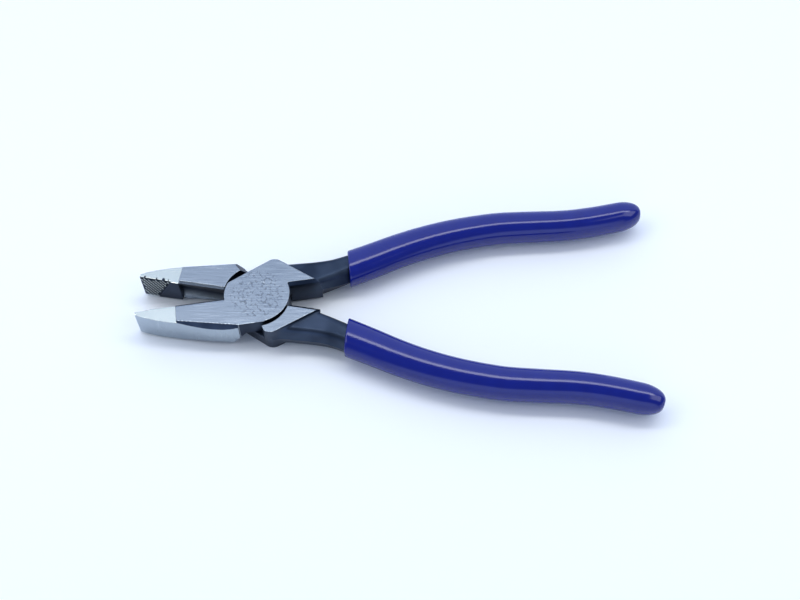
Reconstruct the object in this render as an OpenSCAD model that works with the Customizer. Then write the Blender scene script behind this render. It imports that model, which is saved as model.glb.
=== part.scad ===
// Lineman pliers: two drop-forged levers crossed in a half lap, held by one flush rivet, each
// handle dipped in plastic. Frame: pivot axis on Z, jaws towards -X, handles towards +X, and the
// tool lying on its flat lower face at z = 0. The lower-lap lever is the upper-lap lever turned half
// a turn about X, except that its cutting edge stays near the upper face, to meet the other's. Each
// is drawn closed, with its jaw on the -Y side of the X axis, and then swung open by half_open.

/* [Pose] */
// Angle that each lever is swung away from closed, in degrees
half_open = 9.23; // [0:0.01:22]

/* [Head] */
// Thickness of the head between its two ground faces
head_t = 16; // [14:0.5:18]
// Distance from the pivot to the end of the nose
nose_reach = 54.5; // [52:0.5:58]
// Distance from the pivot to the back of the gripping face
grip_face_back = 36.3; // [34:0.1:38]
// Width of each jaw across the blunt end of the nose
nose_w = 2.2; // [1.5:0.1:3.5]
// Height ground off each side of the nose at its back edge
nose_step = 1.1; // [0.4:0.1:1.6]
// Height ground off each side of the nose at its tip
nose_tip_step = 0.8; // [0.4:0.1:1.6]
// Gap left between each gripping face and the closing plane
close_gap = 0.1; // [0.05:0.05:0.4]

/* [Cutter] */
// Width of the bevel from the ground face to the cutting edge
knife_bevel_w = 1.1; // [0.6:0.1:1.6]
// Depth of the cutting edge below the upper ground face
knife_edge_d = 0.7; // [0.4:0.1:2]
// Height of the steep land under the cutting edge
knife_land_h = 2.6; // [2:0.1:4.5]
// How far the land falls back from the cutting edge
knife_land_back = 0.7; // [0.2:0.1:1.5]
// Radius of the hollow ground behind the cutting edge
hollow_r = 9.6; // [9:0.1:10.5]

/* [Joint] */
// Radius of the round boss of each lap
boss_r = 14.6; // [14:0.1:15]
// Gap between the boss and the jaw hollow that it turns in
boss_gap = 0.35; // [0.2:0.05:0.6]
// Gap between the two sliding lap faces
lap_gap = 0.08; // [0.04:0.02:0.2]
// Radius of the rivet's shank
rivet_r = 5; // [4:0.1:6]
// Radius of the rivet's countersunk heads, flush with the ground faces
rivet_head_r = 6.4; // [5.5:0.1:7.5]
// Height of each countersunk head
rivet_head_h = 2.6; // [1.5:0.1:4]
// Radial clearance of the lever that turns on the rivet
rivet_clear = 0.05; // [0.02:0.01:0.09]

/* [Handle] */
// Thickness of the plastic coat on the sides of the handle
coat_w = 1.8; // [1.4:0.1:3]
// Thickness of the plastic coat above and below the handle
coat_h = 1.3; // [1:0.1:1.8]
// Distance from the pivot to the front edge of the grip
grip_start = 42.8; // [40:0.2:46]
// Distance from the pivot to the end of the grip
grip_end = 183.5; // [180:0.5:186]

/* [Hidden] */
$fn = 96;

steel = [0.62, 0.66, 0.72];
plastic = [0.10, 0.12, 0.50];
eps = 0.01;
mid = head_t / 2;
far = 60;            // larger than any cut needs

// Jaw: plan of the outer side wall, from the nose to the boss
jaw_side = [[-nose_reach, -nose_w], [-51.9, -3.6], [-46.4, -5.95], [-42, -7.45], [-36.4, -9.15],
            [-27, -12.3], [-20, -14.3], [-15, -15.3], [-9.7, -15.9], [-9.7, -14.8], [-1.5, -14.8], [0, -boss_r]];
// Edge of the jaw's ground face, at its front and back ends, and the slope of the bevel beside it
face_edge = [[-36.4, -8.4], [-9.7, -14.75]];
side_bevel_slope = 0.62;

// Wing: the ground shoulder where the boss runs out into the handle
boss_flat = [[-11.3, 8.9], [8.2, 17.9]];          // straight edge cut across the boss
wing_apex = [10.6, 18.1];                         // blunt outer end of the wing
lower_wing_end = [5.8, 15.7];                     // where the wing ends below the lap
lower_wing_angle = 54;
wing_tip = [27.3, 3.95];                          // point of the wing, on the handle's inner side
inner_wall_y = 2.6;                               // inner side of the handle's root
edge_chamfer = wing_tip[1] - inner_wall_y;        // slope along the top and bottom of that side
wing_slope = (wing_tip[1] - wing_apex[1]) / (wing_tip[0] - wing_apex[0]);
wing_foot = [wing_tip[0] - edge_chamfer / wing_slope, inner_wall_y];
hollow_shift = 1.8;                               // centre of the handle-side hollow, off the pivot
handle_hollow_r = 15.1;
root_h = 13.2;                                    // height of the forged root between the ground faces
root_end = 30;                                    // where the square root turns into the round handle
root_side = [[9.6, 17.6], [13, 16.9], [18, 16.4], [root_end, 16.45]];

// Handle stations: [x, y of the centre line, half width, half height], all of the bare steel
handle_path = [[14, 9.2, 6.2, 5.6], [18, 9.2, 6.3, 5.85], [24, 9.3, 6.6, 6.2], [30, 9.45, 6.65, 6.3],
               [36, 9.95, 6.6, 6.35], [45, 11.9, 6.5, 6.35], [55, 14.4, 6.45, 6.3], [75, 19.35, 6.4, 6.3],
               [95, 22.1, 6.25, 6.3], [115, 22.6, 6.0, 6.3], [135, 20.65, 5.75, 6.3], [150, 19.35, 5.55, 6.3],
               [165, 19.65, 5.35, 6.2], [172, 20.2, 5.2, 6.1], [180, 20.9, 4.4, 5.2], [190, 21.6, 3, 4], [200, 22.3, 2, 3]];
steel_squareness = 3;        // superellipse exponents of the two cross-sections
grip_squareness = 2.6;
dip_lean = 0.3;              // lean of the plastic's front edge, away from square to the handle
dip_blend = 30;
dome_len = 9;                // rounded end of the grip
nib_half_w = 1.0;            // blunt drip nib at the very end
nib_half_h = 4.2;
path_end = 179;              // end of the steel inside the grip
root_start = 24;             // start of the swept handle, inside the root
sides = 20;
ring_step = 5;
seat = 0.01;                 // clearance of the grip on its handle

function blend4(a, b, c, d, t) =
    0.5 * (2 * b + (c - a) * t + (2 * a - 5 * b + 4 * c - d) * t * t + (3 * b - a - 3 * c + d) * t * t * t);
function span(x, i = 1) = x < handle_path[i + 1][0] || i > len(handle_path) - 4 ? i : span(x, i + 1);
function station_at(i, t) =
    blend4(handle_path[i - 1], handle_path[i], handle_path[i + 1], handle_path[i + 2], t);
// Finds the spline's parameter at distance x by bisection
function at_x(i, x, lo = 0, hi = 1, n = 20) = let (t = (lo + hi) / 2)
    n == 0 ? station_at(i, t) : station_at(i, t)[0] < x ? at_x(i, x, t, hi, n - 1) : at_x(i, x, lo, t, n - 1);
function station(x) = at_x(span(x), x);
function heading(x) = let (a = station(x - 0.2), b = station(x + 0.2)) atan2(b[1] - a[1], b[0] - a[0]);
function superellipse(w, h, n, k) = let (c = cos(k), s = sin(k))
    [w * sign(c) * pow(abs(c), 2 / n), h * sign(s) * pow(abs(s), 2 / n)];
// How far a ring leans forward per mm off the centre line: the dip line isn't square to the handle
function lean(x) = let (t = max(0, min(1, (x - grip_start) / dip_blend))) dip_lean * (1 - t * t * (3 - 2 * t));
function across(k, n) = superellipse(1, 1, n, k)[0];
// Point at angle k of a section with half width w, half height h and centre line point p
function on_ring(p, a, w, h, n, k) = let (q = superellipse(w, h, n, k))
    [p[0] - q[0] * sin(a), p[1] + q[0] * cos(a), mid + q[1]];
function steps(a, b, step) = let (n = ceil((b - a) / step)) [for (i = [0 : n]) a + (b - a) * i / n];
// Share of the full section left in the dome of the grip, from 1 where it starts to 0 at its end
function dome(x) = let (t = max(0, (x - (grip_end - dome_len)) / dome_len)) sqrt(max(0, 1 - t * t));
// Rings of points round the centre line at distance x: the steel's skin, and the plastic's
function steel_ring(x, more) = [for (i = [0 : sides - 1]) let (k = 360 * i / sides,
    at = x + lean(x) * across(k, steel_squareness) * station(x)[2], p = station(at))
    on_ring(p, heading(at), p[2] + more, p[3] + more, steel_squareness, k)];
function coat_ring(x) = [for (i = [0 : sides - 1]) let (k = 360 * i / sides,
    at = x + lean(x) * across(k, grip_squareness) * (station(x)[2] + coat_w), p = station(at),
    full = station(min(at, 172)), d = dome(x))
    on_ring(p, heading(at), nib_half_w + (full[2] + coat_w - nib_half_w) * d,
            nib_half_h + (full[3] + coat_h - nib_half_h) * d, grip_squareness, k)];

function side_faces(first, rings) =
    [for (r = [0 : rings - 2], i = [0 : sides - 1])
        let (a = first + r * sides, b = a + sides, j = (i + 1) % sides) each [[a + i, b + i, b + j], [a + i, b + j, a + j]]];
// Thin slice of the bare steel at distance x, and the handle as the skin over all its slices
module steel_slice(x) {
    p = station(x);
    translate([p[0], p[1], mid]) rotate([90, 0, heading(x) + 90]) linear_extrude(0.5)
        polygon([for (i = [0 : sides - 1]) superellipse(p[2], p[3], steel_squareness, 360 * i / sides)]);
}
module steel_handle() {
    cuts = steps(root_start, path_end, ring_step);
    for (i = [0 : len(cuts) - 2]) hull() {
        steel_slice(cuts[i]);
        steel_slice(cuts[i + 1]);
    }
}

module jaw_plan() polygon(concat([[-nose_reach, -close_gap]], jaw_side, [[0, -close_gap]]));

// Everything beyond the straight edge of the boss
module boss_flat_cut() {
    run = boss_flat[1] - boss_flat[0];
    translate(boss_flat[0]) rotate(atan2(run[1], run[0])) translate([-10, 0]) square([40, 20]);
}

module head_plan() difference() {
    union() {
        jaw_plan();
        circle(boss_r);
        polygon([[-8, 11.5], [8.2, 18.6], wing_apex, wing_foot, [13, inner_wall_y], [0, 0]]);
    }
    boss_flat_cut();
}

// Slope along the upper inner edge of the handle's root
module root_chamfer() translate([boss_r, 0, 0]) rotate([90, 0, 90]) linear_extrude(20)
    polygon([[inner_wall_y - 1, head_t + 1], [inner_wall_y - 1, head_t - edge_chamfer - 1],
             [wing_tip[1] + 1, head_t + 1]]);

// Ground slope on the outer side of the jaw, beside its upper face
module side_bevel() {
    run = face_edge[1] - face_edge[0];
    translate([face_edge[0][0], face_edge[0][1], head_t])
        rotate([0, 0, atan2(run[1], run[0])])
            rotate([-atan(side_bevel_slope), 0, 0])
                translate([-far / 2, -far, -far]) cube([2 * far, far, 2 * far]);
}

// Slope on the back of the jaw, below the lap
module jaw_heel() {
    top = mid + lap_gap / 2 + 0.1;
    translate([-13, -13.5, 0]) rotate([0, 0, -48]) translate([0, 14, 0]) rotate([90, 0, 0]) linear_extrude(20)
        polygon([[-0.625, -1], [0.625 * top, top], [16, top], [16, -1]]);
}

module nose_cut() translate([-grip_face_back, 0, head_t - nose_step])
    rotate([0, -atan((nose_tip_step - nose_step) / (nose_reach - grip_face_back)), 0])
        translate([-far, -far, 0]) cube([far, 2 * far, far]);

// Cutter: bevel down to the cutting edge, steep land, and the round hollow below it
module cutter_cut() {
    edge = -close_gap - 0.04;
    edge_z = head_t - knife_edge_d;
    land_z = edge_z - knife_land_h;
    translate([-grip_face_back, 0, 0]) rotate([90, 0, 90]) linear_extrude(grip_face_back)
        polygon([[1, head_t + 1], [edge - knife_bevel_w - 1, head_t + 1], [edge - knife_bevel_w, head_t],
                 [edge, edge_z], [edge - knife_land_back, land_z], [edge - knife_land_back, -1], [1, -1]]);
    translate([-grip_face_back + 0.3, hollow_r - 3.7, land_z - 7]) rotate([0, 90, -1])
        cylinder(r = hollow_r, h = 40);
}

module rivet_hole(clear) {
    translate([0, 0, -1]) cylinder(r = rivet_r + clear, h = head_t + 2);
    translate([0, 0, head_t - rivet_head_h])
        cylinder(r1 = rivet_r + clear, r2 = rivet_head_r + clear, h = rivet_head_h + eps);
}

module lever(clear, edge_flip) difference() {
    union() {
        difference() {
            linear_extrude(head_t) head_plan();
            for (flip = [0, 1]) translate([0, 0, flip * head_t]) mirror([0, 0, flip]) {
                side_bevel();
                nose_cut();
                root_chamfer();
            }
            translate([0, 0, edge_flip * head_t]) mirror([0, 0, edge_flip]) cutter_cut();
            jaw_heel();
        }
        translate([0, 0, mid - root_h / 2]) linear_extrude(root_h)
            polygon(concat([[14, inner_wall_y - 0.2], [12, 12]], root_side, [[root_end, inner_wall_y - 0.2]]));
        steel_handle();
    }
    // hollows that the other lever's boss turns in, below the lap
    translate([0, 0, -1]) cylinder(r = boss_r + boss_gap, h = mid + lap_gap / 2 + 1);
    translate([0, hollow_shift, -1]) cylinder(r = handle_hollow_r, h = mid + lap_gap / 2 + 1);
    translate([lower_wing_end[0], lower_wing_end[1], -1]) rotate([0, 0, lower_wing_angle])
        translate([-3, 0, 0]) cube([12, 6, mid + lap_gap / 2 + 1]);
    rivet_hole(clear);
}

module grip() {
    outer = [for (x = concat(steps(grip_start, grip_end - dome_len, ring_step),
                             [for (k = [1 : 8]) grip_end - dome_len + dome_len * sin(90 * k / 8)])) coat_ring(x)];
    inner = [for (x = steps(path_end + seat, grip_start, -ring_step)) steel_ring(x, seat)];
    n = len(outer);
    m = len(inner);
    open_edge = [for (i = [0 : sides - 1]) let (j = (i + 1) % sides, a = (n + m - 1) * sides)
                    each [[a + i, i, j], [a + i, j, a + j]]];
    polyhedron(
        points = [for (r = concat(outer, inner)) each r],
        faces = concat(side_faces(0, n), side_faces(n * sides, m), open_edge,
                       [[for (i = [sides - 1 : -1 : 0]) (n - 1) * sides + i], [for (i = [0 : sides - 1]) n * sides + i]]),
        convexity = 8);
}

module swing_upper() rotate([0, 0, half_open]) children();
module swing_lower() rotate([0, 0, -half_open]) translate([0, 0, head_t]) rotate([180, 0, 0]) children();

module upper_lap_half() color(steel) swing_upper() lever(0, 0);
module lower_lap_half() color(steel) swing_lower() lever(rivet_clear, 1);
module upper_lap_grip() color(plastic) swing_upper() grip();
module lower_lap_grip() color(plastic) swing_lower() grip();
module pivot_rivet() color(steel) {
    cylinder(r = rivet_r, h = head_t);
    for (flip = [0, 1]) translate([0, 0, flip * head_t]) mirror([0, 0, flip])
        cylinder(r1 = rivet_head_r, r2 = rivet_r, h = rivet_head_h);
}

upper_lap_half();
lower_lap_half();
pivot_rivet();
upper_lap_grip();
lower_lap_grip();
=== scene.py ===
import math

import bpy
import numpy as np
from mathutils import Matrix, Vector


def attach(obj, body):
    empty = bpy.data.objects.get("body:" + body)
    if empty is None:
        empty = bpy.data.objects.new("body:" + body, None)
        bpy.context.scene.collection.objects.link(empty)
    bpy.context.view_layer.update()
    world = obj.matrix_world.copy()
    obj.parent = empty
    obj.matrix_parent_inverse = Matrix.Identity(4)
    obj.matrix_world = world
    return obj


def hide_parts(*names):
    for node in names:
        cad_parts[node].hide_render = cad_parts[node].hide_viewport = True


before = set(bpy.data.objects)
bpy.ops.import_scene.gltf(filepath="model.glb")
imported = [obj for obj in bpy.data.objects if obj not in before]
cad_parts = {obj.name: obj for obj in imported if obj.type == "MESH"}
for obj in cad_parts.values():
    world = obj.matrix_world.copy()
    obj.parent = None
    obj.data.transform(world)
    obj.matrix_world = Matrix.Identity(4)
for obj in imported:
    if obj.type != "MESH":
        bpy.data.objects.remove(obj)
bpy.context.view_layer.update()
print("frame loaded")

mm = 0.001


def hexColor(code):
    # sRGB hex to the linear colour that Blender's sockets take
    parts = [int(code[i:i + 2], 16) / 255 for i in (1, 3, 5)]
    return [c / 12.92 if c <= 0.04045 else ((c + 0.055) / 1.055) ** 2.4 for c in parts] + [1.0]


def addNode(tree, kind, settings=None, links=None):
    node = tree.nodes.new(kind)
    for name, value in (settings or {}).items():
        if isinstance(name, int) or name in node.inputs:
            node.inputs[name].default_value = value
        else:
            setattr(node, name, value)
    for name, socket in (links or {}).items():
        tree.links.new(socket, node.inputs[name])
    return node


def newMaterial(name):
    material = bpy.data.materials.new(name)
    material.use_nodes = True
    tree = material.node_tree
    tree.nodes.clear()
    return material, tree


def place(tree, kind, first, values, sockets):
    # a node whose inputs may each be a socket or a plain value
    settings, links = dict(first), {}
    for spot, value in zip(sockets, values):
        (links if isinstance(value, bpy.types.NodeSocket) else settings)[spot] = value
    return addNode(tree, kind, settings, links)


def blend(tree, factor, first, second):
    return place(tree, "ShaderNodeMix", {"data_type": "FLOAT"}, (factor, first, second), (0, 2, 3)).outputs[0]


def blendColors(tree, factor, first, second):
    return place(tree, "ShaderNodeMix", {"data_type": "RGBA"}, (factor, first, second), (0, 6, 7)).outputs[2]


def span(tree, value, start=(0.0, 1.0), end=(0.0, 1.0)):
    # carries a value from one range to another
    settings = {"From Min": start[0], "From Max": start[1], "To Min": end[0], "To Max": end[1]}
    return addNode(tree, "ShaderNodeMapRange", settings, {"Value": value}).outputs[0]


def noise(tree, vector, scale, detail, roughness=0.5):
    settings = {"Scale": scale, "Detail": detail, "Roughness": roughness}
    return addNode(tree, "ShaderNodeTexNoise", settings, {"Vector": vector}).outputs["Fac"]


def stretch(tree, vector, scale):
    return addNode(tree, "ShaderNodeMapping", {"Scale": scale}, {"Vector": vector}).outputs["Vector"]


def times(tree, first, second):
    return place(tree, "ShaderNodeMath", {"operation": "MULTIPLY"}, (first, second), (0, 1)).outputs[0]


def addObject(name, data):
    added = bpy.data.objects.new(name, data)
    bpy.context.scene.collection.objects.link(added)
    return added


# Both levers are worked out closed, in millimetres: along runs from the pivot to the handles, side is
# negative at the jaw and positive at the handle, up is 0 to 16. The lower one is then turned over, and both
# are swung open.

lever = {
    "openDegrees": 9.234,      # each lever's swing at rest
    "thick": 16.0,             # ground face to ground face
    "bossRadius": 14.62,
    "jawHollow": 15.0,         # the other boss turns in this hollow
    "handleHollow": 15.1, "hollowShift": 1.8,
    "lapGap": 0.04,            # half the gap between the laps
    "rivetRadius": 6.41,
    "noseReach": 54.42, "gripBack": 36.4,
    "noseDrop": (1.1, 0.8),    # nose facets below the ground face, at their back and at the tip
    "faceGap": 0.06,           # gripping face to the closing plane
    "knifeBevel": (1.1, 0.7),  # width and depth of the bevel above the cutting edge
    "landDepth": 2.4, "landGrow": 0.08, "landBack": 0.7,    # steep land under the edge, deeper by the joint
    # hollow-ground relief behind the edge; it deepens towards the joint, and its centre is below the land
    "pocketRadius": 9.6, "pocketReach": 3.7, "pocketDeepen": 0.02, "pocketDrop": 7.0,
    # flat ground under the jaw's upper outer edge: its start, its fall in plan over its run, its slope
    "bevelStart": (-36.4, -8.4), "bevelFall": 6.35, "bevelRun": 26.7, "bevelSlope": 0.62,
    "crown": 0.2,              # the jaw's side swells this much at mid height
    "proudEnd": -9.7, "neckSide": -14.78,    # the jaw's proud side stops here; the neck wall behind it
    "jawRoot": 2.0,            # the jaw runs on this far past the pivot, inside the boss
    # walls of the ground shoulder in plan: a point on each, and its direction
    "flatWall": ((-11.3, 8.9), (19.5, 9.0)),
    "shoulderWall": ((10.6, 18.1), (16.7, -14.15)),
    "bluntWall": ((5.8, 15.7), (0.588, 0.809)),     # the wing's thin end, blunted below the lap
    "bluntFrom": (1, 13),      # along and side beyond which it is blunted
    "draft": (0.45, 0.06),     # the walls' shift at the foot, less this per mm up
    "wingInner": 2.6, "wingTip": 3.95, "wingRound": 3.0,
    "heelSlope": (0.669, 0.743, 0.625), "heelSpot": (-13, -13.5),    # sloping wall under the jaw's heel
    "heelReach": (6, -5),      # along and side up to which it cuts
    "handleFront": 11.0, "handleEnd": 47.0,
    "soft": 0.12,              # blend radius that breaks the ground edges
    "forgedSoft": 2.2,         # blend radius of the forged handle's edges
    "cell": 0.4, "quickCell": 1.5,
    "boxLow": (-56, -17, -0.6), "boxHigh": (48.2, 21, 16.6),
}

# jaw's outer side: [along, side]
jawSide = np.array([
    (-56, -1.75), (-54.4, -2.25), (-51.9, -3.55), (-46.4, -5.95), (-42, -7.5), (-36.4, -9.2),
    (-30, -11.3), (-24, -13.1), (-20, -14.1), (-15, -15.15), (-10, -15.75), (-5, -16.2)])
# forged handle: [along, inner side at mid height, inner edge, outer side at mid height, outer edge,
# half height]
handleRun = np.array([
    (8, 2.5, 2.6, 17.6, 16.4, 6.3), (15, 2.5, 2.6, 16.6, 15.2, 6.3), (22, 2.5, 2.7, 16.2, 14.7, 6.3),
    (27.4, 2.6, 3.0, 15.9, 14.4, 6.3), (32, 2.9, 4.2, 15.9, 14.4, 6.25), (36, 3.3, 5.4, 16.3, 14.6, 6.2),
    (40, 3.9, 6.8, 17.1, 15.3, 6.15), (43, 4.5, 7.8, 17.9, 15.9, 6.1), (48, 5.8, 9.2, 19.2, 17.2, 6.1),
    (60, 9.6, 12.2, 22.0, 20.0, 6.1)])



def smooth(table, x, column=1):
    # cubic through the table's points, so that outlines have no corners
    xs, ys = table[:, 0], table[:, column]
    slope = np.gradient(ys, xs)
    i = np.clip(np.searchsorted(xs, x) - 1, 0, len(xs) - 2)
    h = xs[i + 1] - xs[i]
    t = np.clip((x - xs[i]) / h, 0, 1)
    return ((2 * t**3 - 3 * t**2 + 1) * ys[i] + (t**3 - 2 * t**2 + t) * h * slope[i]
            + (3 * t**2 - 2 * t**3) * ys[i + 1] + (t**3 - t**2) * h * slope[i + 1])


def join(a, b, r):
    # union of two distance fields with a fillet
    h = np.maximum(r - np.abs(a - b), 0) / r
    return np.minimum(a, b) - h * h * r * 0.25


def meet(a, b, r):
    # intersection with a rounded edge
    return -join(-a, -b, r)


def plane(along, side, point, direction):
    # signed distance to a wall in plan; direction runs along the wall with the steel on its right
    length = math.hypot(*direction)
    dx, dy = direction[0] / length, direction[1] / length
    return (along - point[0]) * -dy + (side - point[1]) * dx


# In the fields, the factor that closes a sloping wall's line brings it back to a true distance.


def jawField(along, side, up, edgeUp):
    s, top = lever, lever["thick"]
    fromMid = np.abs(up - top / 2)
    crown = s["crown"] * (1 - (fromMid / (top / 2)) ** 2)
    proud = (smooth(jawSide, along) + s["crown"] - crown - side) * 0.97
    neck = np.maximum(s["neckSide"] - side, s["proudEnd"] - 1 - along)
    wall = np.minimum(meet(proud, along - s["proudEnd"], 0.3), neck)
    bevelEdge = s["bevelStart"][1] - (along - s["bevelStart"][0]) * s["bevelFall"] / s["bevelRun"]
    wallBevel = (bevelEdge - s["bevelSlope"] * (top / 2 - fromMid) - side) * 0.85
    body = meet(wall, wallBevel, s["soft"])
    body = meet(body, -s["noseReach"] - along, s["soft"])
    body = meet(body, along - s["jawRoot"], s["soft"])
    back, tip = s["noseDrop"]
    dropped = back + (tip - back) * (-s["gripBack"] - along) / (s["noseReach"] - s["gripBack"])
    facet = np.maximum(along + s["gripBack"], (top / 2 - dropped) - fromMid)
    body = meet(body, -facet, s["soft"] * 0.6)
    body = meet(body, side + s["faceGap"], s["soft"])
    # cutter, worked out with its edge near the upper face
    height = up if edgeUp else top - up
    wide, deep = s["knifeBevel"]
    edge = -s["faceGap"] - 0.04
    run = along + s["gripBack"]
    landDepth = s["landDepth"] + run * s["landGrow"]
    bevel = ((side - edge) * deep + (height - (top - deep)) * wide) / math.hypot(wide, deep)
    land = (side - edge) + np.minimum(top - deep - height, landDepth) * s["landBack"] / landDepth
    pocketSide = s["pocketRadius"] - s["pocketReach"] - run * s["pocketDeepen"]
    pocketHeight = top - deep - landDepth - s["pocketDrop"]
    pocket = s["pocketRadius"] - np.hypot(side - pocketSide, height - pocketHeight)
    knife = meet(meet(bevel, land, 0.12), pocket, 0.2)
    return meet(body, join(run, knife, 0.3), 0.3)


def bossField(along, side, up):
    s, top = lever, lever["thick"]
    draft = s["draft"][0] - s["draft"][1] * up
    flat = plane(along, side, *s["flatWall"]) - draft
    shoulder = plane(along, side, *s["shoulderWall"]) - draft
    inner = s["wingInner"] - side
    slope = (s["wingTip"] - side + np.abs(up - top / 2) - top / 2) * 0.707
    wing = meet(meet(flat, shoulder, s["wingRound"]), meet(inner, slope, s["soft"]), s["soft"])
    wing = np.maximum(wing, -along)
    boss = np.hypot(along, side) - s["bossRadius"]
    return meet(join(boss, wing, 0.6), flat, s["soft"])


def handleField(along, side, up):
    top = lever["thick"]
    fromMid = np.abs(up - top / 2)
    innerMid, innerEdge = smooth(handleRun, along, 1), smooth(handleRun, along, 2)
    outerMid, outerEdge = smooth(handleRun, along, 3), smooth(handleRun, along, 4)
    half = smooth(handleRun, along, 5)
    lean = fromMid / half
    inner = (innerMid + (innerEdge - innerMid) * lean - side) * 0.93
    outer = (side - outerMid + (outerMid - outerEdge) * lean) * 0.93
    body = meet(meet(inner, outer, 0.8), fromMid - half, lever["forgedSoft"])
    body = meet(body, lever["handleFront"] - along, 0.5)
    return meet(body, along - lever["handleEnd"], 0.5)


def leverField(point, edgeUp):
    s = lever
    along, side, up = point
    head = join(bossField(along, side, up), jawField(along, side, up, edgeUp), 0.4)
    head = meet(head, np.abs(up - s["thick"] / 2) - s["thick"] / 2, s["soft"])
    body = join(head, handleField(along, side, up), 1.2)
    underLap = up - (s["thick"] / 2 + s["lapGap"])
    hollow = np.minimum(np.hypot(along, side) - s["jawHollow"],
                        np.hypot(along, side - s["hollowShift"]) - s["handleHollow"])
    bluntAlong, bluntSide = s["bluntFrom"]
    thin = np.maximum(-plane(along, side, *s["bluntWall"]), np.maximum(bluntSide - side, bluntAlong - along))
    hollow = np.minimum(hollow, thin)
    body = meet(body, -np.maximum(hollow, underLap), s["soft"])
    a, b, c = s["heelSlope"]
    heel = (a * (along - s["heelSpot"][0]) - b * (side - s["heelSpot"][1]) - c * up) * 0.848
    reached = np.maximum(along - s["heelReach"][0], side - s["heelReach"][1])
    rear = np.maximum(np.maximum(-heel, underLap), reached)
    body = meet(body, -rear, s["soft"])
    return meet(body, s["rivetRadius"] - np.hypot(along, side), 0.04)


def slopeOf(field, point, step=0.02):
    parts = []
    for axis in range(3):
        ahead, behind = point.copy(), point.copy()
        ahead[axis] += step
        behind[axis] -= step
        parts.append((field(ahead) - field(behind)) / (2 * step))
    return np.array(parts)


def unit(vectors):
    return vectors / np.maximum(np.sqrt((vectors**2).sum(0)), 1e-6)


meshing = {
    "shift": 0.17,             # mm: keeps the grid off the flat faces
    "rounds": 4,               # steps towards each crossing
    "hold": 0.04,              # pull towards the crossings' middle where the planes leave a vertex free
    "reach": 0.9,              # longest move from that middle, in cells
}


def surfaceMesh(field, low, high, cell):
    # One vertex in each cell that the surface crosses, put where the planes of its crossings meet so that
    # edges stay crisp, and one face over each crossed grid edge.
    axes = [np.arange(a - meshing["shift"], b + cell, cell) for a, b in zip(low, high)]
    grid = np.array(np.meshgrid(*axes, indexing="ij"))
    value = field(grid)
    inside = value < 0
    size = np.array(value.shape) - 1
    total, count = np.zeros((3,) + tuple(size)), np.zeros(tuple(size))
    pulls, sums = np.zeros((3, 3) + tuple(size)), np.zeros((3,) + tuple(size))
    for axis in range(3):
        a = [slice(None)] * 3
        b = [slice(None)] * 3
        a[axis], b[axis] = slice(0, -1), slice(1, None)
        start = grid[(slice(None),) + tuple(a)]
        va, vb = value[tuple(a)], value[tuple(b)]
        crossed = inside[tuple(a)] != inside[tuple(b)]
        spot = start[:, crossed]
        near, far = np.zeros(spot.shape[1]), np.ones(spot.shape[1])
        vn, vf = va[crossed], vb[crossed]
        for _ in range(meshing["rounds"]):
            part = near + (far - near) * vn / (vn - vf)
            trial = spot.copy()
            trial[axis] += part * cell
            vt = field(trial)
            same = (vt < 0) == (vn < 0)
            near, vn = np.where(same, part, near), np.where(same, vt, vn)
            far, vf = np.where(same, far, part), np.where(same, vf, vt)
        spot[axis] += part * cell
        normal = unit(slopeOf(field, spot))
        fullSpot, fullNormal = np.zeros_like(start), np.zeros_like(start)
        fullSpot[:, crossed], fullNormal[:, crossed] = spot, normal
        others = [k for k in range(3) if k != axis]
        for i in (0, 1):
            for j in (0, 1):
                pick = [slice(None)] * 3
                pick[others[0]] = slice(i, i + size[others[0]])
                pick[others[1]] = slice(j, j + size[others[1]])
                pick = (slice(None),) + tuple(pick)
                p, n = fullSpot[pick], fullNormal[pick]
                total += p
                count += crossed[pick[1:]]
                along = (p * n).sum(0)
                for k in range(3):
                    sums[k] += n[k] * along
                    for m in range(3):
                        pulls[k, m] += n[k] * n[m]
    active = count > 0
    number = -np.ones(active.shape, int)
    number[active] = np.arange(active.sum())
    middle = total[:, active] / count[active]
    pull = np.moveaxis(pulls[:, :, active], 2, 0)
    rest = (sums[:, active] - np.einsum("nkm,mn->kn", pull, middle)).T
    shift = np.linalg.solve(pull + np.eye(3) * meshing["hold"], rest[:, :, None])[:, :, 0].T
    length = np.sqrt((shift**2).sum(0))
    point = middle + shift * np.minimum(1, meshing["reach"] * cell / np.maximum(length, 1e-9))
    faces = []
    for axis in range(3):
        u, v = (axis + 1) % 3, (axis + 2) % 3
        a = [slice(1, -1)] * 3
        b = [slice(1, -1)] * 3
        a[axis], b[axis] = slice(0, -1), slice(1, None)
        start, end = inside[tuple(a)], inside[tuple(b)]
        for mask, turn in ((start & ~end, 1), (~start & end, -1)):
            cells = np.array(np.nonzero(mask))
            cells[u] += 1
            cells[v] += 1
            around = []
            for du, dv in ((-1, -1), (0, -1), (0, 0), (-1, 0))[::turn]:
                c = cells.copy()
                c[u] += du
                c[v] += dv
                around.append(number[tuple(c)])
            faces.append(np.array(around).T)
    return point, np.concatenate(faces)


toothed = {
    "pitch": 1.5,              # between grooves, which cross at right angles
    "slant": 58,               # degrees between the ridges and the jaw's length
    "depth": 0.5,
    "crestLong": 0.84, "crestWide": 0.38,    # worn flat on each tooth, as shares of the pitch
    "front": -53.6, "top": 14.2, "foot": 1.3,
    "backTop": (-48.3, 14.6), "backFoot": (-40.9, 1.2),      # two points on the slanting back edge
    "origin": 54.0,            # the grid of teeth starts this far in front of the pivot
    "crestSink": 0.02, "rootSink": 1.4,      # crests and closed backs, behind the gripping face
    "recessGrow": 0.7,         # the lever is cut away this far beyond the teeth
}


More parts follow.
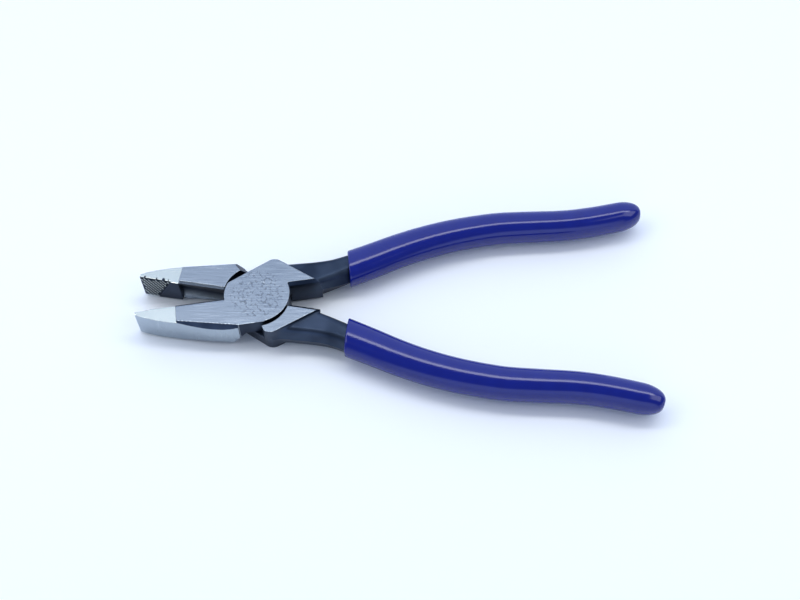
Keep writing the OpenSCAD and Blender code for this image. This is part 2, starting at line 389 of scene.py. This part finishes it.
def toothedEdge(along, height):
    # signed distance outside the toothed part of the gripping face
    t = toothed
    down = (t["backTop"][1] - height) / (t["backTop"][1] - t["backFoot"][1])
    backEdge = t["backTop"][0] + (t["backFoot"][0] - t["backTop"][0]) * down
    return np.maximum(np.maximum(t["front"] - along, (along - backEdge) * 0.87),
                      np.maximum(t["foot"] - height, height - t["top"]))


def teethGeometry():
    # long flat-topped teeth standing in the gripping face, closed behind; finishes are [forged, side-ground,
    # painted shine] as in groundShares
    t = toothed
    cosine, sine = math.cos(math.radians(t["slant"])), math.sin(math.radians(t["slant"]))
    corners, faces, finishes, lookup = [], [], [], {}
    # the crests get the pale painted shine, a painted reflection of the sky; flanks and backs keep the oxide
    pale, dark = (0, 0, 0.7), (1, 0, 0)
    crest, valley, back = (-lever["faceGap"] - t[key] for key in ("crestSink", "depth", "rootSink"))

    def corner(i, j, depth):
        key = (i, j, depth)
        if key not in lookup:
            s, r = i * t["pitch"], j * t["pitch"]
            lookup[key] = len(corners)
            corners.append((s * cosine - r * sine - t["origin"], depth, s * sine + r * cosine))
        return lookup[key]

    # the grid is wider than the face, and only the teeth on the face stay
    cells = []
    for i in range(-20, 40):
        for j in range(-40, 40):
            along = ((i + 0.5) * cosine - (j + 0.5) * sine) * t["pitch"] - t["origin"]
            height = ((i + 0.5) * sine + (j + 0.5) * cosine) * t["pitch"]
            if toothedEdge(along, height) < 0:
                cells.append((i, j))
    held = set(cells)
    long, wide = t["crestLong"] / 2, t["crestWide"] / 2
    for i, j in cells:
        ring = [(i, j), (i + 1, j), (i + 1, j + 1), (i, j + 1)]
        top = [(i + 0.5 - long, j + 0.5 - wide), (i + 0.5 + long, j + 0.5 - wide),
               (i + 0.5 + long, j + 0.5 + wide), (i + 0.5 - long, j + 0.5 + wide)]
        for k in range(4):
            n = (k + 1) % 4
            faces.append((corner(*ring[k], valley), corner(*ring[n], valley),
                          corner(*top[n], crest), corner(*top[k], crest)))
            finishes.append(dark)
        faces.append(tuple(corner(*c, crest) for c in top))
        faces.append(tuple(corner(*c, back) for c in ring[::-1]))
        finishes += [pale, dark]
        for a, b, beyond in ((ring[0], ring[1], (i, j - 1)), (ring[1], ring[2], (i + 1, j)),
                             (ring[2], ring[3], (i, j + 1)), (ring[3], ring[0], (i - 1, j))):
            if beyond not in held:
                faces.append((corner(*a, back), corner(*b, back), corner(*b, valley), corner(*a, valley)))
                finishes.append(dark)
    return np.array(corners).T, faces, finishes


def share(value, start, end):
    return np.clip((value - start) / (end - start), 0, 1)


groundLimits = {               # each pair runs from no share to a full one
    "level": (0.9, 0.98), "levelDepth": 0.1, "facetDepth": 1.3,
    "outward": (0.5, 0.7), "upright": (-0.42, -0.3),
    "forward": (0.5, 0.75), "forwardTo": -50,
    # the relief's up-facing part is painted paler, as light from above
    "inward": (0.2, 0.5), "reliefLitUp": (0.0, 0.45), "reliefLitShare": 0.5,
    "bossClear": 0.6,
}


def groundShares(point, normal, cutterUp):
    # which finish each spot has: [forged, side-ground, painted shine], 0 to 1; the painted shine is a painted
    # highlight
    s, limits, top = lever, groundLimits, lever["thick"]
    along, side, up = point
    fromMid = np.abs(up - top / 2)
    level = share(np.abs(normal[2]), *limits["level"])
    onFacet = (along < -s["gripBack"] + 0.1) & (fromMid > top / 2 - limits["facetDepth"])
    flat = level * np.maximum(fromMid > top / 2 - limits["levelDepth"], onFacet)
    pastBoss = np.hypot(along, side) > s["bossRadius"] + limits["bossClear"]
    onJaw = (side < -0.02) & (along < -3) & pastBoss
    sides = onJaw * share(-normal[1], *limits["outward"]) * share(-np.abs(normal[2]), *limits["upright"])
    sides = sides * (along < s["proudEnd"] + 0.2)
    front = onJaw * share(-normal[0], *limits["forward"]) * (along < limits["forwardTo"])
    sides = np.maximum(sides, front)
    # painted highlight: the nose facets are ground like the faces, and get a paler tone for the light they
    # catch
    nose = flat * (along < -s["gripBack"] + 0.05) * (side < 0)
    # painted light: where the relief behind the cutting edge faces up it gets a paler ground tone than the
    # oxide
    relief = onJaw * (along > -s["gripBack"]) * share(normal[1], *limits["inward"])
    relief = relief * share(normal[2] * cutterUp, *limits["reliefLitUp"])
    forged = 1 - np.maximum(np.maximum(flat, sides), relief)
    return forged, np.maximum(sides, relief * limits["reliefLitShare"]), nose



def toRow(point, lower):
    # from the closed drawing to the row's frame, in metres
    along, side, up = point
    if lower:
        side, up = -side, lever["thick"] - up
    turn = math.radians(-lever["openDegrees"] if lower else lever["openDegrees"])
    return np.array([along * math.cos(turn) - side * math.sin(turn),
                     along * math.sin(turn) + side * math.cos(turn), up]) * mm


def buildLever(name, lower):
    def field(point):
        recess = np.maximum(toothedEdge(point[0], point[2]) - toothed["recessGrow"],
                            -point[1] - lever["faceGap"] - toothed["depth"])
        return meet(leverField(point, edgeUp=not lower), -recess, 0.12)

    cell = lever["cell"] * 1
    point, faces = surfaceMesh(field, lever["boxLow"], lever["boxHigh"], cell)
    point[2] = np.clip(point[2], 0, lever["thick"])
    # normals and finishes are read just inside each face's corners, so both sides of an edge stay apart
    corners = point[:, faces]
    inner = (corners * 0.7 + corners.mean(2, keepdims=True) * 0.3).reshape(3, -1)
    normal = unit(slopeOf(field, inner))
    shares = groundShares(inner, normal, -1 if lower else 1)
    teeth, teethFaces, teethShares = teethGeometry()
    count = point.shape[1]
    allPoints = toRow(np.concatenate([point, teeth], axis=1), lower).T
    allFaces = [tuple(f) for f in faces.tolist()] + [tuple(i + count for i in f) for f in teethFaces]
    mesh = bpy.data.meshes.new(name)
    mesh.from_pydata(allPoints.tolist(), [], allFaces)
    for k, label in enumerate(("forged", "sideGround", "nose")):
        attribute = mesh.attributes.new(label, "FLOAT", "CORNER")
        onTeeth = [row[k] for row, face in zip(teethShares, teethFaces) for _ in face]
        attribute.data.foreach_set("value", np.concatenate([shares[k], onTeeth]).astype(np.float32))
    smoothFace = np.zeros(len(mesh.polygons), bool)
    smoothFace[:len(faces)] = True
    mesh.polygons.foreach_set("use_smooth", smoothFace)
    turned = unit(toRow(normal, lower) - toRow(np.zeros((3, 1)), lower))
    flatNormals = [list(p.normal) for p in list(mesh.polygons)[len(faces):] for _ in p.loop_indices]
    mesh.normals_split_custom_set(turned.T.tolist() + flatNormals)
    print(name, len(mesh.vertices), "vertices")
    return addObject(name, mesh)


grip = {
    "start": 42.8, "end": 183.3,
    "lean": 0.3, "leanOver": 30.0,     # the dip line's slant, which fades out along the grip
    "flatness": 2.25,          # exponent of the section: 2 is an ellipse
    "halfHeight": 7.05, "lift": 8.5,
    "wall": 1.5,
    "boreShort": 14.0, "boreStep": 6.0, "boreClear": 0.2,    # the bore ends this short of the grip's end
    "lip": 0.55, "lipSteps": 6, "lipClear": 0.6,             # rounding of the dip's front edge
    "dome": 10.5, "domeSteps": 22, "domeTaper": 0.85,        # length of the rounded end, and its fullness
    "nibWidth": 1.0, "nibHeight": 2.4, "leanWidth": 8.3,
    "sides": 72, "step": 1.5,
}
# grip: [along, side of its centre line, half width]
gripRun = np.array([
    (30, 9.0, 8.6), (38, 10.17, 8.5), (46, 12.1, 8.35), (55, 14.45, 8.15), (65, 17.2, 7.95),
    (75, 19.5, 7.8), (85, 21.2, 7.7), (95, 22.3, 7.6), (105, 22.8, 7.5), (115, 22.8, 7.4),
    (125, 21.9, 7.3), (135, 20.8, 7.15), (142, 20.0, 7.05), (150, 19.5, 6.95), (158, 19.5, 6.85),
    (165, 19.8, 6.75), (172, 20.3, 6.65), (180, 20.95, 6.55), (190, 21.6, 6.5)])



def gripRing(along, inset, wide, high, exponent, lift):
    g = grip
    angle = np.arange(g["sides"]) * 2 * math.pi / g["sides"]
    c, s = np.cos(angle), np.sin(angle)
    across = np.sign(c) * np.abs(c) ** (2 / exponent)
    height = high * np.sign(s) * np.abs(s) ** (2 / exponent)
    t = min(max((along - g["start"]) / g["leanOver"], 0), 1)
    at = along + g["lean"] * (1 - t * t * (3 - 2 * t)) * across * (g["leanWidth"] + inset)
    centre = smooth(gripRun, at)
    turn = np.arctan2(smooth(gripRun, at + 0.3) - smooth(gripRun, at - 0.3), 0.6)
    across = across * (g["nibWidth"] + (smooth(gripRun, at, 2) + inset - g["nibWidth"]) * wide)
    return np.array([at - across * np.sin(turn), centre + across * np.cos(turn), lift + height])


def buildGrip(name, lower):
    g = grip
    rings = []
    # inner skin from its blind end to the mouth, then round the lip and back over the outside
    for along in np.arange(g["end"] - g["boreShort"], g["start"] + g["boreClear"], -g["boreStep"]):
        rings.append((along, -g["wall"], 1.0))
    for k in range(g["lipSteps"] + 1):
        turn = math.pi * k / g["lipSteps"]
        inset = -g["wall"] / 2 * (1 + math.cos(turn))
        rings.append((g["start"] + g["lip"] * (1 - math.sin(turn)), inset, 1.0))
    straight = np.arange(g["start"] + g["lip"] + g["lipClear"], g["end"] - g["dome"], g["step"])
    rings += [(along, 0.0, 1.0) for along in straight]
    rings += [(g["end"] - g["dome"] + g["dome"] * math.sin(t), 0.0, math.cos(t))
              for t in np.linspace(0, math.pi / 2, g["domeSteps"])]
    lift = lever["thick"] - g["lift"] if lower else g["lift"]
    points = []
    for along, inset, full in rings:
        high = g["nibHeight"] + (g["halfHeight"] + inset - g["nibHeight"]) * full
        exponent = g["flatness"] + (2.0 - g["flatness"]) * (1 - full)
        points.append(gripRing(float(along), inset, full ** g["domeTaper"], high, exponent, lift))
    count, sides = len(points), g["sides"]
    flatPoints = np.concatenate(points, axis=1)
    faces = []
    for r in range(count - 1):
        for i in range(sides):
            j = (i + 1) % sides
            faces.append((r * sides + i, (r + 1) * sides + i, (r + 1) * sides + j, r * sides + j))
    faces.append(tuple(range(sides)))
    faces.append(tuple(reversed(range((count - 1) * sides, count * sides))))
    mesh = bpy.data.meshes.new(name)
    mesh.from_pydata(toRow(flatPoints, lower).T.tolist(), [], faces)
    mesh.validate()
    mesh.polygons.foreach_set("use_smooth", [True] * len(mesh.polygons))
    print(name, len(mesh.vertices), "vertices")
    return addObject(name, mesh)


steelLook = {
    "ground": "#9AA2A9", "groundDark": "#7F8892",
    "forged": "#3B4658", "forgedDark": "#252E3D",
    "sideGround": "#B6C3CF",
    # paler tone painted on the nose facets and tooth crests as painted highlight and painted reflection
    "nose": "#C0C6C1",
    # worn, unreadable strokes round the boss: size, reach and breaks in mm, and how strong they are
    "stamp": "#3E4550", "stampSize": 1.5, "stampReach": 12.6, "stampBreak": 1.7, "stampShare": 0.5,
    "strokeEdge": (0.15, 0.06), "strokeKept": (0.51, 0.58),
    "sideShare": 0.6,          # how far the side-ground tone covers the ground one
    "groundRough": 0.24, "forgedRough": 0.4,
    "grainWidth": 0.45,        # mm between belt marks on the faces, drawn coarser than real so that it shows
    "grainLength": 14.0,
    "markWidth": 0.7, "markLength": 9.0,     # cross marks on the jaw's sides
    "scale": 1.3,              # mm across the specks of forging scale
    "cloud": 16.0,             # mm across the slow change in the oxide's tone
    "bumpShare": 0.25, "bumpDepth": 0.00003,
}


def perMetre(size):
    return 1 / (size * mm)


def forgedSteel():
    # Drop-forged tool steel: belt-ground faces look pale and finely streaked, the rest keeps a dark oiled
    # oxide.
    look = steelLook
    material, tree = newMaterial("ground_and_oxide_tool_steel")
    spot = addNode(tree, "ShaderNodeTexCoord").outputs["Object"]
    forged, sides, nose = (addNode(tree, "ShaderNodeAttribute", {"attribute_name": name}).outputs["Fac"]
                           for name in ("forged", "sideGround", "nose"))
    alongGrain = stretch(tree, spot, (perMetre(look["grainLength"]), perMetre(look["grainWidth"]),
                                      perMetre(2)))
    upMarks = stretch(tree, spot, (perMetre(look["markWidth"]), perMetre(look["markWidth"]),
                                   perMetre(look["markLength"])))
    grain = noise(tree, alongGrain, 1.0, 3.0, 0.6)
    marks = noise(tree, upMarks, 1.0, 2.0, 0.55)
    scaleNoise = noise(tree, spot, perMetre(look["scale"]), 5.0, 0.6)
    cloud = noise(tree, spot, perMetre(look["cloud"]), 2.0)

    streak = blend(tree, sides, grain, marks)
    tone = blendColors(tree, span(tree, streak, (0.3, 0.65)), hexColor(look["groundDark"]),
                       hexColor(look["ground"]))
    tone = blendColors(tree, times(tree, sides, look["sideShare"]), tone, hexColor(look["sideGround"]))
    # painted highlight on the nose facets, painted reflection of the sky on the tooth crests
    tone = blendColors(tree, nose, tone, hexColor(look["nose"]))
    # worn stamping on the boss: broken strokes only
    flatSpot = stretch(tree, spot, (1, 1, 0))
    radius = addNode(tree, "ShaderNodeVectorMath", {"operation": "LENGTH"}, {0: flatSpot}).outputs["Value"]
    cells = addNode(tree, "ShaderNodeTexVoronoi",
                    {"feature": "DISTANCE_TO_EDGE", "Scale": perMetre(look["stampSize"])},
                    {"Vector": flatSpot}).outputs["Distance"]
    breaks = noise(tree, flatSpot, perMetre(look["stampBreak"]), 2.0)
    onBoss = span(tree, radius, (look["stampReach"] * mm, (look["stampReach"] - 1) * mm))
    stamp = times(tree, span(tree, cells, look["strokeEdge"]), span(tree, breaks, look["strokeKept"]))
    stamp = times(tree, times(tree, stamp, onBoss), look["stampShare"])
    tone = blendColors(tree, stamp, tone, hexColor(look["stamp"]))
    oxide = blendColors(tree, span(tree, cloud, (0.35, 0.65)), hexColor(look["forgedDark"]),
                        hexColor(look["forged"]))

    roughGround = span(tree, streak, end=(look["groundRough"] - 0.06, look["groundRough"] + 0.08))
    roughForged = span(tree, scaleNoise, end=(look["forgedRough"] - 0.08, look["forgedRough"] + 0.12))
    relief = blend(tree, forged, streak, scaleNoise)
    bump = addNode(tree, "ShaderNodeBump", {"Strength": look["bumpShare"], "Distance": look["bumpDepth"]},
                   {"Height": relief}).outputs["Normal"]
    shader = addNode(tree, "ShaderNodeBsdfPrincipled", {"Metallic": 1.0}, {
        "Base Color": blendColors(tree, forged, tone, oxide),
        "Roughness": blend(tree, forged, roughGround, roughForged), "Normal": bump})
    addNode(tree, "ShaderNodeOutputMaterial", {}, {"Surface": shader.outputs[0]})
    return material



gripLook = {
    "color": "#061A7C", "deep": "#051470",
    "rough": 0.13,
    "ripple": 5.0,             # mm between the slow waves that dipping leaves
    "dust": 0.9,               # mm across the faint changes in gloss
    "bumpShare": 0.12, "bumpDepth": 0.0002,
}


def dippedPlastic():
    # Plastisol PVC, dipped hot and cured: deep, wet-looking gloss with slow waves and no grain.
    look = gripLook
    material, tree = newMaterial("dipped_gloss_pvc")
    spot = addNode(tree, "ShaderNodeTexCoord").outputs["Object"]
    wave = noise(tree, spot, perMetre(look["ripple"]), 1.0)
    tint = blendColors(tree, wave, hexColor(look["deep"]), hexColor(look["color"]))
    dust = noise(tree, spot, perMetre(look["dust"]), 3.0)
    rough = span(tree, dust, end=(look["rough"] - 0.04, look["rough"] + 0.06))
    bump = addNode(tree, "ShaderNodeBump", {"Strength": look["bumpShare"], "Distance": look["bumpDepth"]},
                   {"Height": wave}).outputs["Normal"]
    shader = addNode(tree, "ShaderNodeBsdfPrincipled", {"IOR": 1.5},
                     {"Base Color": tint, "Roughness": rough, "Normal": bump})
    addNode(tree, "ShaderNodeOutputMaterial", {}, {"Surface": shader.outputs[0]})
    return material



rivetShape = {
    "headRadius": 6.405, "shankRadius": 4.98, "headHeight": 2.55,
    "edge": 0.04,              # broken edge of the flush heads
    "sides": 144,
}


def buildRivet(name):
    r, top = rivetShape, lever["thick"]
    half = [(r["headRadius"] - r["edge"], 0), (r["headRadius"], r["edge"]),
            (r["shankRadius"], r["headHeight"])]
    profile = half + [(radius, top - up) for radius, up in half[::-1]]
    sides = r["sides"]
    turns = [2 * math.pi * i / sides for i in range(sides)]
    points = [(radius * math.cos(t) * mm, radius * math.sin(t) * mm, up * mm)
              for radius, up in profile for t in turns]
    faces = [(k * sides + i, k * sides + (i + 1) % sides,
              (k + 1) * sides + (i + 1) % sides, (k + 1) * sides + i)
             for k in range(len(profile) - 1) for i in range(sides)]
    faces.append(tuple(reversed(range(sides))))
    faces.append(tuple(range((len(profile) - 1) * sides, len(profile) * sides)))
    mesh = bpy.data.meshes.new(name)
    mesh.from_pydata(points, [], faces)
    return addObject(name, mesh)


steel = forgedSteel()
plastic = dippedPlastic()

upperHalf = buildLever("upper_lap_half_forging", lower=False)
lowerHalf = buildLever("lower_lap_half_forging", lower=True)
upperGrip = buildGrip("upper_lap_dipped_grip", lower=False)
lowerGrip = buildGrip("lower_lap_dipped_grip", lower=True)
rivet = buildRivet("flush_pivot_rivet")

for piece, finish, body, node, slotName in (
        (upperHalf, steel, "upper_lever", "upper_lap_half", "upper_half_steel"),
        (lowerHalf, steel, "lower_lever", "lower_lap_half", "lower_half_steel"),
        (rivet, steel, "upper_lever", "pivot_rivet", "rivet_steel"),
        (upperGrip, plastic, "upper_lever", "upper_lap_grip", "upper_grip_plastic"),
        (lowerGrip, plastic, "lower_lever", "lower_lap_grip", "lower_grip_plastic")):
    piece.data.materials.append(finish)
    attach(piece, body)
    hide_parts(node)

print("pieces ride on their bodies")


studio = {
    "floor": "#F0F5FB", "floorRough": 0.5, "floorReach": 6.0, "floorDrop": 0.0002,
    "air": "#D2E2FF",
    # pale walls behind and in front, dark overhead; the bands say where each begins, by the sky's Y
    "rearPower": 1.35, "abovePower": 0.32, "frontPower": 1.5,
    "rearBand": (0.28, 0.46), "frontBand": (-0.74, -0.84),
    "lamp": "#F8FAFC", "lampAim": (0.06, 0.0, 0.0),
    "lamps": (("overhead_strip", (0.06, 0.27, 0.92), 1.6, 0.16, 4.8),    # name, place, width, height, watts
              ("left_box", (-0.95, -0.1, 0.95), 0.9, 0.9, 4.9),
              ("right_box", (1.07, -0.1, 0.95), 0.9, 0.9, 4.9)),
    "cameraSpot": (0.0648, -0.2630, 0.4393), "aim": (0.0640, 0.0067, 0.0), "lens": 50.2, "sensor": 36.0,
}


def lookAt(spot, aim):
    return (Vector(aim) - Vector(spot)).to_track_quat("-Z", "Y").to_euler()


floorMesh = bpy.data.meshes.new("studio_floor")
reach = studio["floorReach"]
floorMesh.from_pydata([(-reach, -reach, 0), (reach, -reach, 0), (reach, reach, 0), (-reach, reach, 0)],
                      [], [(0, 1, 2, 3)])
floor = addObject("studio_floor", floorMesh)
floor.location.z = -studio["floorDrop"]
# uncoated white sheet: bright, with no gloss of its own
paper, paperTree = newMaterial("matt_white_sheet")
paperShader = addNode(paperTree, "ShaderNodeBsdfPrincipled",
                      {"Base Color": hexColor(studio["floor"]), "Roughness": studio["floorRough"]})
addNode(paperTree, "ShaderNodeOutputMaterial", {}, {"Surface": paperShader.outputs[0]})
floorMesh.materials.append(paper)

world = bpy.data.worlds.new("studio_air")
bpy.context.scene.world = world
world.use_nodes = True
sky = world.node_tree
sky.nodes.clear()
towards = addNode(sky, "ShaderNodeTexCoord").outputs["Generated"]
depthwise = addNode(sky, "ShaderNodeSeparateXYZ", {}, {"Vector": towards}).outputs["Y"]
rear = span(sky, depthwise, studio["rearBand"], (studio["abovePower"], studio["rearPower"]))
front = span(sky, depthwise, studio["frontBand"], (0.0, studio["frontPower"] - studio["abovePower"]))
strength = addNode(sky, "ShaderNodeMath", {"operation": "ADD"}, {0: rear, 1: front}).outputs[0]
air = addNode(sky, "ShaderNodeBackground", {"Color": hexColor(studio["air"])}, {"Strength": strength})
addNode(sky, "ShaderNodeOutputWorld", {}, {"Surface": air.outputs[0]})

for name, spot, width, height, power in studio["lamps"]:
    lampData = bpy.data.lights.new(name, "AREA")
    lampData.shape = "RECTANGLE"
    lampData.size, lampData.size_y = width, height
    lampData.energy = power
    lampData.color = hexColor(studio["lamp"])[:3]
    lamp = addObject(name, lampData)
    lamp.location = spot
    lamp.rotation_euler = lookAt(spot, studio["lampAim"])

cameraData = bpy.data.cameras.new("camera")
cameraData.sensor_width = studio["sensor"]
cameraData.lens = studio["lens"]
camera = addObject("camera", cameraData)
camera.location = studio["cameraSpot"]
camera.rotation_euler = lookAt(studio["cameraSpot"], studio["aim"])
bpy.context.scene.camera = camera
bpy.context.scene.view_settings.view_transform = "Standard"
print("studio ready")

bpy.context.view_layer.update()
